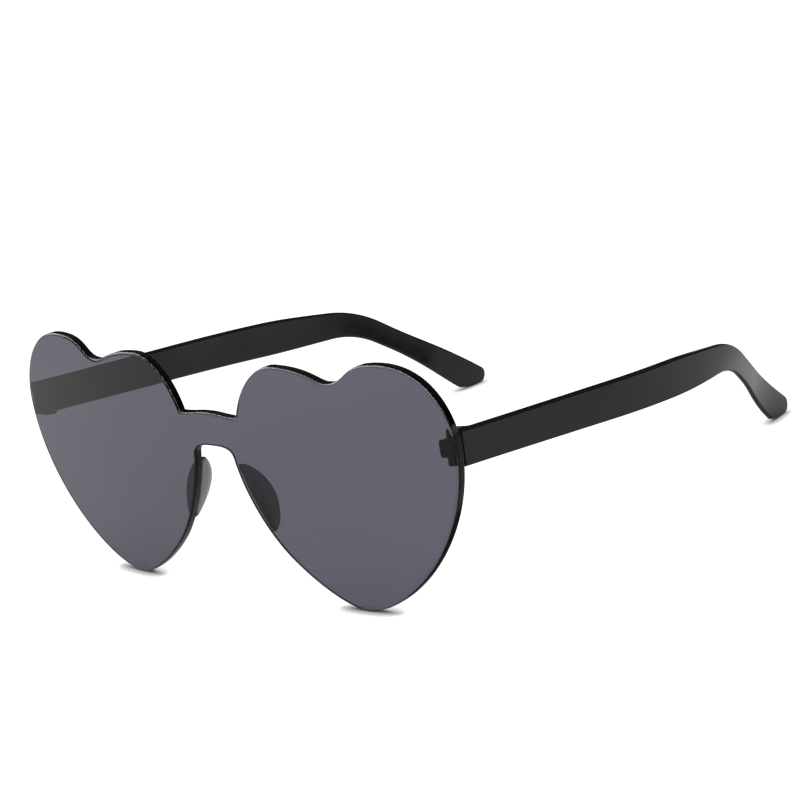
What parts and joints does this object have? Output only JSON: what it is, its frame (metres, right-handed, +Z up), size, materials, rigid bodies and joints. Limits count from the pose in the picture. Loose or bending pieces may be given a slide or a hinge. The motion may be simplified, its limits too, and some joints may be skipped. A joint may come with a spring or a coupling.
{
  "type": "heart shaped sunglasses",
  "caption": "Rimless sunglasses with a one-piece, smoke tinted lens cut as two hearts, bonded nose pads, and temples that fold on upright hinge screws.",
  "frame": {"origin": "centre of the bounding box's bottom face, on the surface that the heart tips and the temple tips rest on", "axes": "+Z up, +Y from the lens towards the temple tips, +X towards the wearer's left"},
  "size_m": [0.15, 0.1548, 0.0622],
  "materials": {
    "lens": "gloss, smoke tinted and see-through",
    "pad": "satin, cloudy",
    "block": "gloss",
    "temple": "gloss",
    "screw": "bright"
  },
  "bodies": {
    "front": {"lens": "lens", "nose_pad_left": "pad", "nose_pad_right": "pad", "hinge_block_left": "block", "hinge_block_right": "block"},
    "temple_left": {"temple_left": "temple", "hinge_screw_left": "screw"},
    "temple_right": {"temple_right": "temple", "hinge_screw_right": "screw"}
  },
  "joints": [
    {"name": "fold_left", "type": "hinge", "parent": "front", "child": "temple_left", "pos_m": [0.0714, -0.06656, 0.04208], "axis": [0, 0.1203, 0.9927], "range_deg": [0, 82]},
    {"name": "fold_right", "type": "hinge", "parent": "front", "child": "temple_right", "pos_m": [-0.0714, -0.06656, 0.04208], "axis": [0, -0.1203, -0.9927], "range_deg": [0, 70]}
  ]
}
